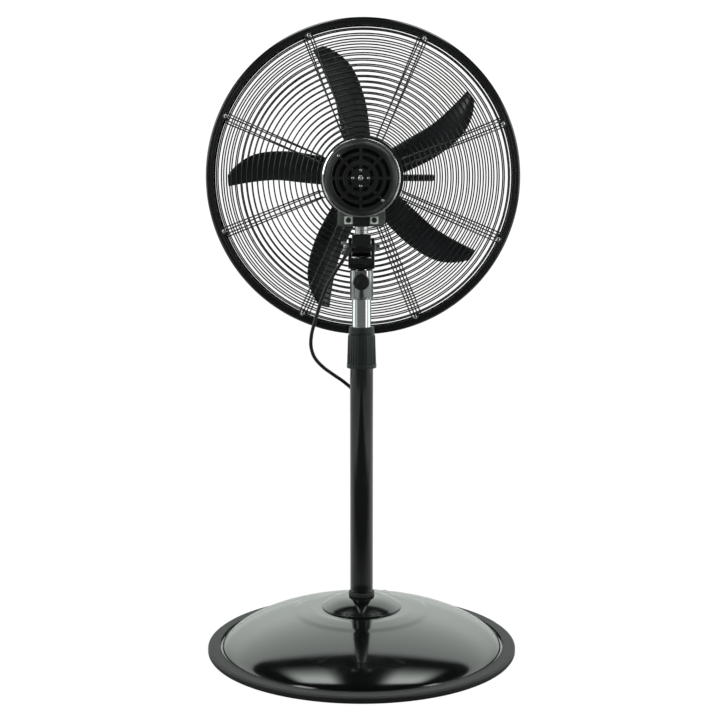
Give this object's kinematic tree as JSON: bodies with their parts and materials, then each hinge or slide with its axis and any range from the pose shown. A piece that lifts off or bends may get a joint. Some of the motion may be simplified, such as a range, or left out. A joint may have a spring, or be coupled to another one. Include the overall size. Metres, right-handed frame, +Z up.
{
  "type": "pedestal fan",
  "caption": "Pedestal fan on a round weighted base, with a telescopic pole, a tilting and swivelling head and scimitar blades inside a domed wire guard.",
  "frame": {"origin": "centre of the base's underside, on the floor", "axes": "+Z up along the pole; +Y the way the air is blown, from the motor's rear cap to the front guard; +X to the right as seen from behind the fan"},
  "size_m": [0.582, 0.6181, 1.1593],
  "materials": {
    "black_enamel": "gloss black baked enamel on steel",
    "black_plastic": "satin black moulded plastic",
    "rubber": "black rubber",
    "chrome": "polished chrome plate",
    "gunmetal": "dark chrome, polished",
    "bright_steel": "bright zinc and machined aluminium",
    "cast_iron": "black oxide and raw cast iron",
    "collar_plastic": "dark grey-green satin plastic",
    "blade_enamel": "black enamel with a soft blue-grey sheen",
    "copper": "lacquered copper winding",
    "steel_stack": "stacked lamination steel",
    "nylon": "natural nylon",
    "brass": "plain brass",
    "cord_pvc": "black PVC sheath"
  },
  "bodies": {
    "stand": {"base_shell": "black_enamel", "base_rim_trim": "rubber", "base_weight": "cast_iron", "base_bolt": "bright_steel", "pole_plug": "cast_iron", "outer_tube": "black_enamel", "guide_bush": "nylon", "grip_collet": "nylon", "base_cover": "black_enamel", "pole_foot_ring": "rubber", "power_cord": "cord_pvc", "cord_hank": "cord_pvc", "cord_tie": "rubber", "cord_tail": "cord_pvc", "plug_body": "black_plastic", "plug_pin_1": "brass", "plug_pin_2": "brass", "cord_clip_upper": "black_plastic", "cord_clip_lower": "black_plastic"},
    "collar": {"height_collar": "collar_plastic"},
    "mast": {"inner_tube": "chrome", "mast_foot_bush": "nylon", "neck_socket": "gunmetal", "tilt_yoke": "black_enamel", "tilt_bolt": "bright_steel", "cord_gland": "rubber"},
    "knob": {"neck_knob": "black_plastic"},
    "wing_nut": {"tilt_wing_nut": "bright_steel"},
    "tilt": {"tilt_block": "black_enamel", "pivot_post": "bright_steel", "swivel_bush": "bright_steel"},
    "head": {"motor_saddle": "bright_steel", "saddle_bolt_1": "cast_iron", "saddle_bolt_2": "cast_iron", "motor_housing": "bright_steel", "rear_end_bell": "bright_steel", "front_bearing": "bright_steel", "rear_bearing": "bright_steel", "stator": "steel_stack", "stator_winding": "copper", "run_capacitor": "black_plastic", "rear_cap": "black_plastic", "cap_screw": "bright_steel", "guard_plate": "black_enamel", "rim_band": "black_plastic", "rear_guard": "black_enamel", "front_guard": "black_enamel", "centre_badge": "black_plastic", "guard_cross": "black_plastic"},
    "rotor": {"motor_shaft": "bright_steel", "rotor_core": "steel_stack", "blade_hub": "blade_enamel", "hub_nut": "black_plastic", "blade_1": "blade_enamel", "blade_2": "blade_enamel", "blade_3": "blade_enamel", "blade_4": "blade_enamel", "blade_5": "blade_enamel"}
  },
  "joints": [
    {"name": "collar_turn", "type": "hinge", "parent": "stand", "child": "collar", "pos_m": [0, 0, 0.5645], "axis": [0, 0, 1], "range_deg": [0, 90]},
    {"name": "height_slide", "type": "slide", "parent": "stand", "child": "mast", "axis": [0, 0, 1], "range_m": [0, 0.33]},
    {"name": "knob_turn", "type": "hinge", "parent": "mast", "child": "knob", "pos_m": [0, -0.03, 0.6845], "axis": [0, -1, 0], "continuous": true},
    {"name": "wing_nut_turn", "type": "hinge", "parent": "mast", "child": "wing_nut", "pos_m": [-0.03, 0, 0.7445], "axis": [-1, 0, 0], "continuous": true},
    {"name": "head_tilt", "type": "hinge", "parent": "mast", "child": "tilt", "pos_m": [0, 0, 0.7445], "axis": [1, 0, 0], "range_deg": [-15, 25]},
    {"name": "head_swivel", "type": "hinge", "parent": "tilt", "child": "head", "pos_m": [0, 0, 0.776], "axis": [0, 0, 1], "range_deg": [-40, 40]},
    {"name": "blade_spin", "type": "hinge", "parent": "head", "child": "rotor", "pos_m": [0, 0.085, 0.8683], "axis": [0, 1, 0], "continuous": true}
  ]
}
